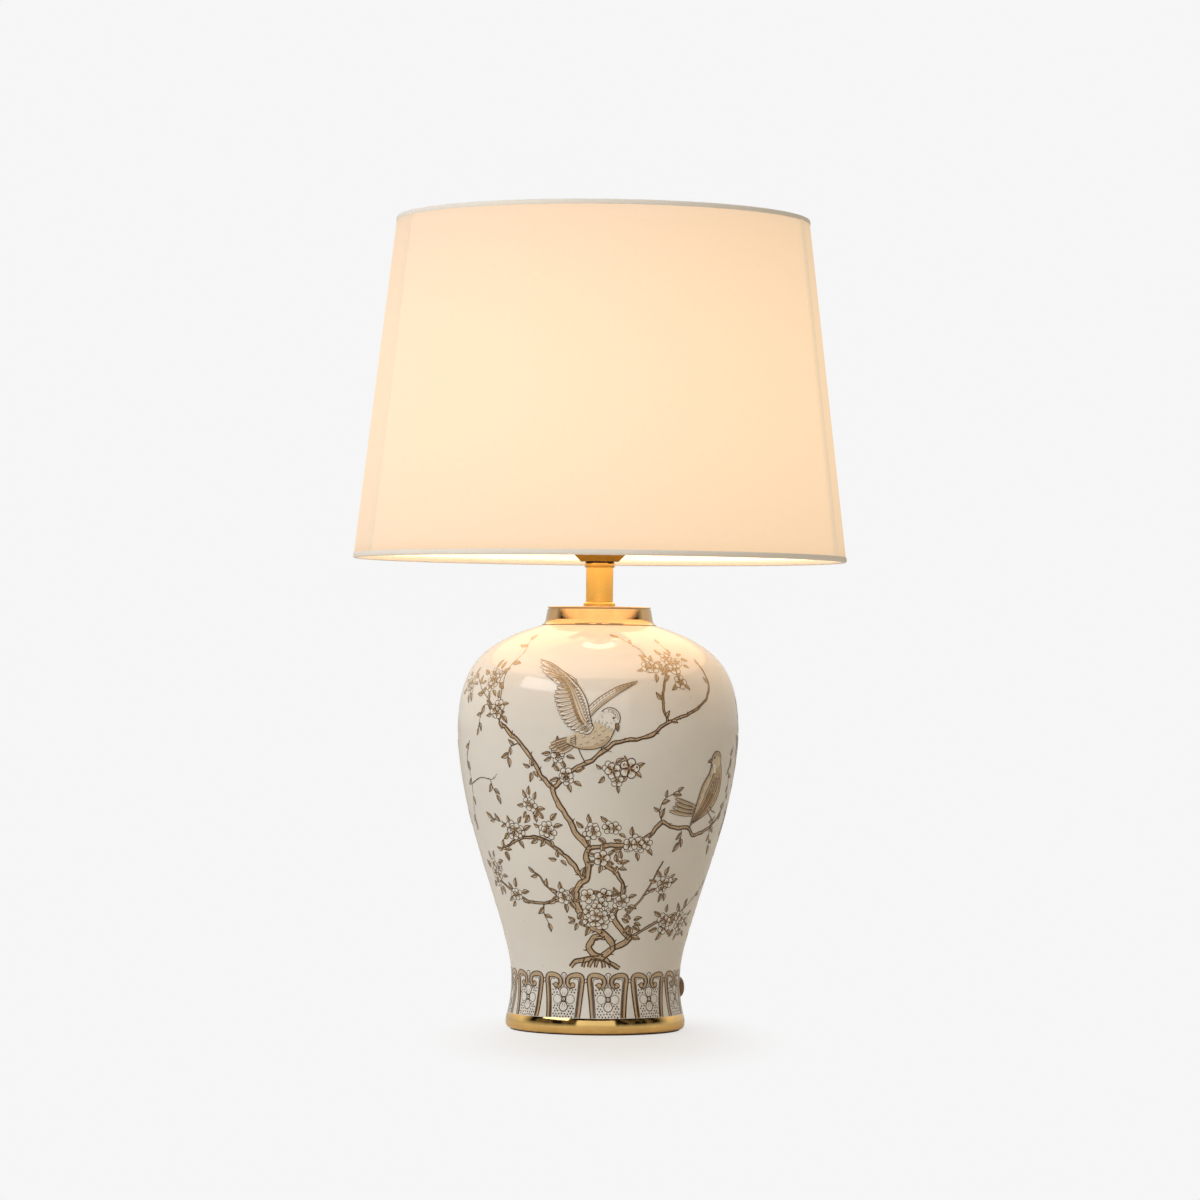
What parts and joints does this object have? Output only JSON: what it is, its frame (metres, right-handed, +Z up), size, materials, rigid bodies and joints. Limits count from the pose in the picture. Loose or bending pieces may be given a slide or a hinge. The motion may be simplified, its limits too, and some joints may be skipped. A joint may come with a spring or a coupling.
{
  "type": "table lamp",
  "caption": "Table lamp with a glazed, printed ceramic jar, brass base, cap and neck, a bulb socket with a turn switch, and a tapered fabric shade that turns on a harp.",
  "frame": {"origin": "on the table, under the lamp's axis", "axes": "+Z up along the lamp's axis, +X to the right as seen from the front, -Y towards the front"},
  "size_m": [0.3552, 0.3552, 0.5825],
  "materials": {
    "brass": "polished",
    "glaze": "glossy glaze with a brown print",
    "felt": "felt",
    "steel": "zinc plated",
    "dark_steel": "blackened",
    "brown_plastic": "moulded",
    "black_plastic": "moulded",
    "fibre": "fibre sleeve",
    "aluminium": "rolled",
    "opal_glass": "frosted, lit",
    "cream_fabric": "plain weave, lit from inside",
    "trim_fabric": "rolled tape",
    "lining": "sheet, lit"
  },
  "bodies": {
    "lamp": {"base_felt": "felt", "base_plinth": "brass", "base_washer": "steel", "base_nut": "steel", "lamp_pipe": "steel", "ceramic_jar": "glaze", "cord_gland": "brown_plastic", "cord_gland_nut": "brown_plastic", "vase_cap": "brass", "neck_collar_lower": "brass", "neck_tube": "brass", "neck_collar_upper": "brass", "saddle_washer": "dark_steel", "harp_saddle": "brass", "socket_cap": "brass", "socket_shell": "brass", "socket_sleeve": "fibre", "socket_interior": "black_plastic", "terminal_screws": "brass", "screw_shell": "aluminium", "centre_contact": "brass", "harp_wire": "brass", "harp_stud": "brass"},
    "switch": {"switch_shaft": "steel", "switch_knob": "black_plastic"},
    "bulb": {"bulb_contact": "aluminium", "bulb_insulator": "black_plastic", "bulb_cap": "aluminium", "bulb_glass": "opal_glass"},
    "ferrule_right": {"harp_ferrule_right": "brass"},
    "ferrule_left": {"harp_ferrule_left": "brass"},
    "shade": {"shade_spider": "brass", "shade_lower_ring": "steel", "shade_lining": "lining", "shade_panel_front": "cream_fabric", "shade_panel_back": "cream_fabric", "shade_trim_top": "trim_fabric", "shade_trim_bottom": "trim_fabric"},
    "finial": {"finial": "brass"}
  },
  "joints": [
    {"name": "knob_turn", "type": "hinge", "parent": "lamp", "child": "switch", "pos_m": [0, -0.0256, 0.3649], "axis": [0, -1, 0], "continuous": true},
    {"name": "bulb_turn", "type": "hinge", "parent": "lamp", "child": "bulb", "pos_m": [0, 0, 0.3946], "axis": [0, 0, 1], "continuous": true},
    {"name": "ferrule_right_lift", "type": "slide", "parent": "lamp", "child": "ferrule_right", "axis": [0, 0, 1], "range_m": [0, 0.014]},
    {"name": "ferrule_left_lift", "type": "slide", "parent": "lamp", "child": "ferrule_left", "axis": [0, 0, 1], "range_m": [0, 0.014]},
    {"name": "shade_turn", "type": "hinge", "parent": "lamp", "child": "shade", "pos_m": [0, 0, 0.5539], "axis": [0, 0, 1], "continuous": true},
    {"name": "finial_turn", "type": "hinge", "parent": "lamp", "child": "finial", "pos_m": [0, 0, 0.5559], "axis": [0, 0, 1], "continuous": true}
  ]
}
